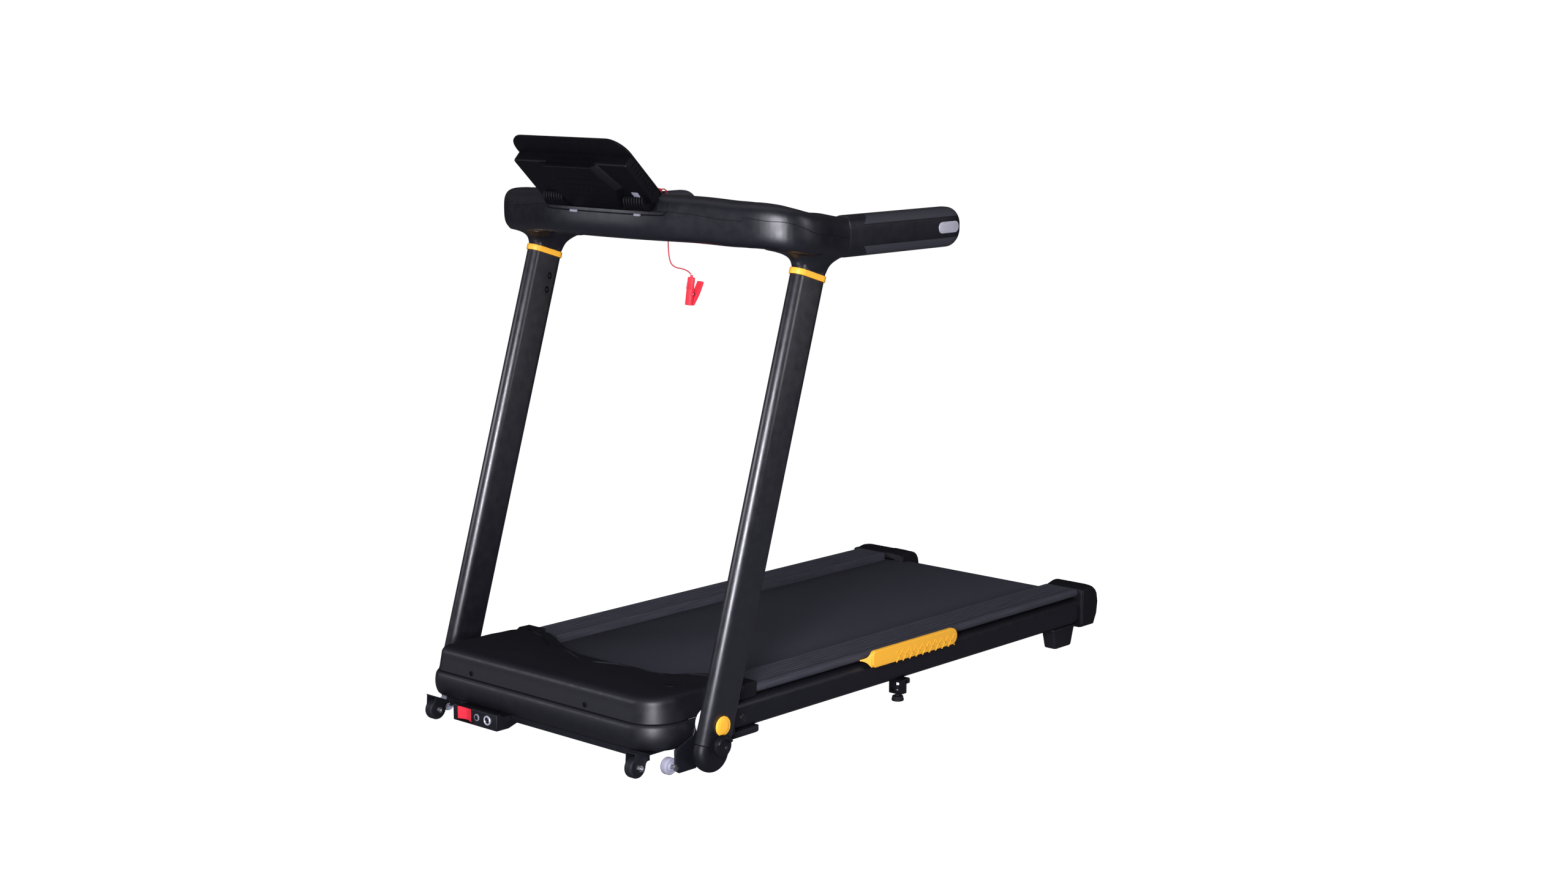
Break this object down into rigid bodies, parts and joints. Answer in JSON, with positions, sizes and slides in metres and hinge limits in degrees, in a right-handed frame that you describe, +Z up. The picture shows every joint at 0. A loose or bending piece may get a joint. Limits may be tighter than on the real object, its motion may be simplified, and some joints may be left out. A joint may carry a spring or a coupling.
{
  "type": "folding treadmill",
  "caption": "Motorised folding home treadmill: flat belt deck with motor hood, two leaning uprights, bowed handlebar with console and safety key.",
  "frame": {"origin": "on the floor, at the middle of the footprint", "axes": "+Z up, +Y along the belt towards its run-off end, the motor hood and console at -Y, +X to the side with the hand pad"},
  "size_m": [0.7754, 1.3603, 1.1029],
  "materials": {
    "frame_paint": "satin",
    "black_plastic": "satin",
    "rail_plastic": "matte",
    "belt_rubber": "matte",
    "yellow_plastic": "satin",
    "red_plastic": "satin",
    "grey_plastic": "satin",
    "foot_rubber": "matte",
    "bare_steel": "turned",
    "grip_foam": "matte",
    "deck_board": "waxed"
  },
  "bodies": {
    "base": {"side_tube_left": "frame_paint", "side_tube_right": "frame_paint", "pivot_bracket_left": "frame_paint", "pivot_bracket_right": "frame_paint", "wheel_fork_left": "frame_paint", "wheel_fork_right": "frame_paint", "level_foot_bracket_left": "frame_paint", "level_foot_bracket_right": "frame_paint", "motor_tray": "frame_paint", "rear_cross_member": "frame_paint", "drive_motor": "frame_paint", "rear_end_cap_left": "black_plastic", "rear_end_cap_right": "black_plastic", "hood_top_cover": "black_plastic", "hood_lower_cover": "black_plastic", "power_box": "black_plastic", "foot_rail_left": "rail_plastic", "foot_rail_right": "rail_plastic", "running_belt": "belt_rubber", "drive_belt": "belt_rubber", "side_pad": "yellow_plastic", "rear_foot_left": "foot_rubber", "rear_foot_right": "foot_rubber", "block_foot_left": "foot_rubber", "block_foot_right": "foot_rubber", "running_deck": "deck_board"},
    "upright_frame": {"upright_left": "frame_paint", "upright_right": "frame_paint", "foot_cap_left": "black_plastic", "foot_cap_right": "black_plastic", "collar_left": "yellow_plastic", "collar_right": "yellow_plastic", "pivot_cap_left": "yellow_plastic", "pivot_cap_right": "yellow_plastic", "handlebar_upper_shell": "black_plastic", "handlebar_lower_shell": "black_plastic"},
    "console": {"console_back": "black_plastic", "console_face": "black_plastic"},
    "safety_key": {"safety_key": "red_plastic", "safety_cord": "red_plastic", "clip_jaw_fixed": "red_plastic"},
    "clip_jaw": {"clip_jaw_moving": "red_plastic"},
    "front_roller": {"front_roller": "bare_steel"},
    "rear_roller": {"rear_roller": "bare_steel"},
    "motor_pulley": {"motor_pulley": "bare_steel"},
    "front_wheel_left": {"front_wheel_left": "black_plastic"},
    "front_wheel_right": {"front_wheel_right": "black_plastic"},
    "floor_roller_left": {"floor_roller_left": "grey_plastic"},
    "floor_roller_right": {"floor_roller_right": "grey_plastic"},
    "level_foot_left": {"level_foot_left": "foot_rubber"},
    "level_foot_right": {"level_foot_right": "foot_rubber"},
    "power_rocker": {"power_rocker": "red_plastic"},
    "breaker_button": {"breaker_button": "black_plastic"},
    "lock_knob_left": {"lock_knob_left": "black_plastic"},
    "lock_knob_right": {"lock_knob_right": "black_plastic"},
    "handle_left": {"handle_left": "grip_foam"},
    "handle_right": {"handle_right": "grip_foam"},
    "start_button": {"start_button": "grey_plastic"},
    "speed_up_button": {"speed_up_button": "grey_plastic"},
    "speed_down_button": {"speed_down_button": "grey_plastic"}
  },
  "joints": [
    {"name": "upright_fold", "type": "hinge", "parent": "base", "child": "upright_frame", "pos_m": [0, -0.5345, 0.0845], "axis": [-1, 0, 0], "range_deg": [0, 69.5]},
    {"name": "handle_fold_left", "type": "hinge", "parent": "upright_frame", "child": "handle_left", "pos_m": [-0.3465, -0.1947, 0.95], "axis": [1, 0, 0], "range_deg": [0, 69.5]},
    {"name": "handle_fold_right", "type": "hinge", "parent": "upright_frame", "child": "handle_right", "pos_m": [0.3465, -0.1947, 0.95], "axis": [1, 0, 0], "range_deg": [0, 69.5]},
    {"name": "console_tilt", "type": "hinge", "parent": "upright_frame", "child": "console", "pos_m": [0, -0.4735, 0.9885], "axis": [1, 0, 0], "range_deg": [0, 40]},
    {"name": "start_button_press", "type": "slide", "parent": "console", "child": "start_button", "axis": [0, -0.6972, -0.7169], "range_m": [0, 0.0012], "stiffness_N_per_m": 400},
    {"name": "speed_up_button_press", "type": "slide", "parent": "console", "child": "speed_up_button", "axis": [0, -0.6972, -0.7169], "range_m": [0, 0.0012], "stiffness_N_per_m": 400},
    {"name": "speed_down_button_press", "type": "slide", "parent": "console", "child": "speed_down_button", "axis": [0, -0.6972, -0.7169], "range_m": [0, 0.0012], "stiffness_N_per_m": 400},
    {"name": "safety_key_pull", "type": "slide", "parent": "upright_frame", "child": "safety_key", "axis": [0, 0, 1], "range_m": [0, 0.02]},
    {"name": "front_roller_spin", "type": "hinge", "parent": "base", "child": "front_roller", "pos_m": [0, -0.472, 0.0805], "axis": [1, 0, 0], "continuous": true},
    {"name": "rear_roller_spin", "type": "hinge", "parent": "base", "child": "rear_roller", "pos_m": [0, 0.633, 0.0805], "axis": [1, 0, 0], "continuous": true},
    {"name": "motor_spin", "type": "hinge", "parent": "base", "child": "motor_pulley", "pos_m": [-0.2, -0.572, 0.083], "axis": [1, 0, 0], "continuous": true},
    {"name": "front_wheel_left_spin", "type": "hinge", "parent": "base", "child": "front_wheel_left", "pos_m": [-0.2702, -0.6605, 0.0195], "axis": [1, 0, 0], "continuous": true},
    {"name": "floor_roller_left_spin", "type": "hinge", "parent": "base", "child": "floor_roller_left", "pos_m": [-0.3, -0.607, 0.0155], "axis": [1, 0, 0], "continuous": true},
    {"name": "level_foot_left_screw", "type": "slide", "parent": "base", "child": "level_foot_left", "axis": [0, 0, 1], "range_m": [0, 0.005]},
    {"name": "front_wheel_right_spin", "type": "hinge", "parent": "base", "child": "front_wheel_right", "pos_m": [0.2702, -0.6605, 0.0195], "axis": [1, 0, 0], "continuous": true},
    {"name": "floor_roller_right_spin", "type": "hinge", "parent": "base", "child": "floor_roller_right", "pos_m": [0.3, -0.607, 0.0155], "axis": [1, 0, 0], "continuous": true},
    {"name": "level_foot_right_screw", "type": "slide", "parent": "base", "child": "level_foot_right", "axis": [0, 0, 1], "range_m": [0, 0.005]},
    {"name": "lock_knob_left_turn", "type": "hinge", "parent": "upright_frame", "child": "lock_knob_left", "pos_m": [-0.3615, -0.54529, 0.04963], "axis": [1, 0, 0], "range_deg": [0, 240]},
    {"name": "lock_knob_right_turn", "type": "hinge", "parent": "upright_frame", "child": "lock_knob_right", "pos_m": [0.3615, -0.54529, 0.04963], "axis": [1, 0, 0], "range_deg": [0, 240]},
    {"name": "power_rocker_tip", "type": "hinge", "parent": "base", "child": "power_rocker", "pos_m": [-0.1785, -0.662, 0.0285], "axis": [0, 0, 1], "range_deg": [-8, 8]},
    {"name": "breaker_button_press", "type": "slide", "parent": "base", "child": "breaker_button", "axis": [0, 1, 0], "range_m": [0, 0.002], "stiffness_N_per_m": 600},
    {"name": "clip_jaw_open", "type": "hinge", "parent": "safety_key", "child": "clip_jaw", "pos_m": [0.12278, -0.35822, 0.814], "axis": [0.9903, -0.1392, 0], "range_deg": [0, 8], "stiffness_Nm_per_rad": 0.02}
  ],
  "couplings": [
    {"joint": "handle_fold_left", "follows": "upright_fold", "ratio": 1},
    {"joint": "handle_fold_right", "follows": "upright_fold", "ratio": 1},
    {"joint": "rear_roller_spin", "follows": "front_roller_spin", "ratio": 1},
    {"joint": "motor_spin", "follows": "front_roller_spin", "ratio": 2.4286}
  ]
}
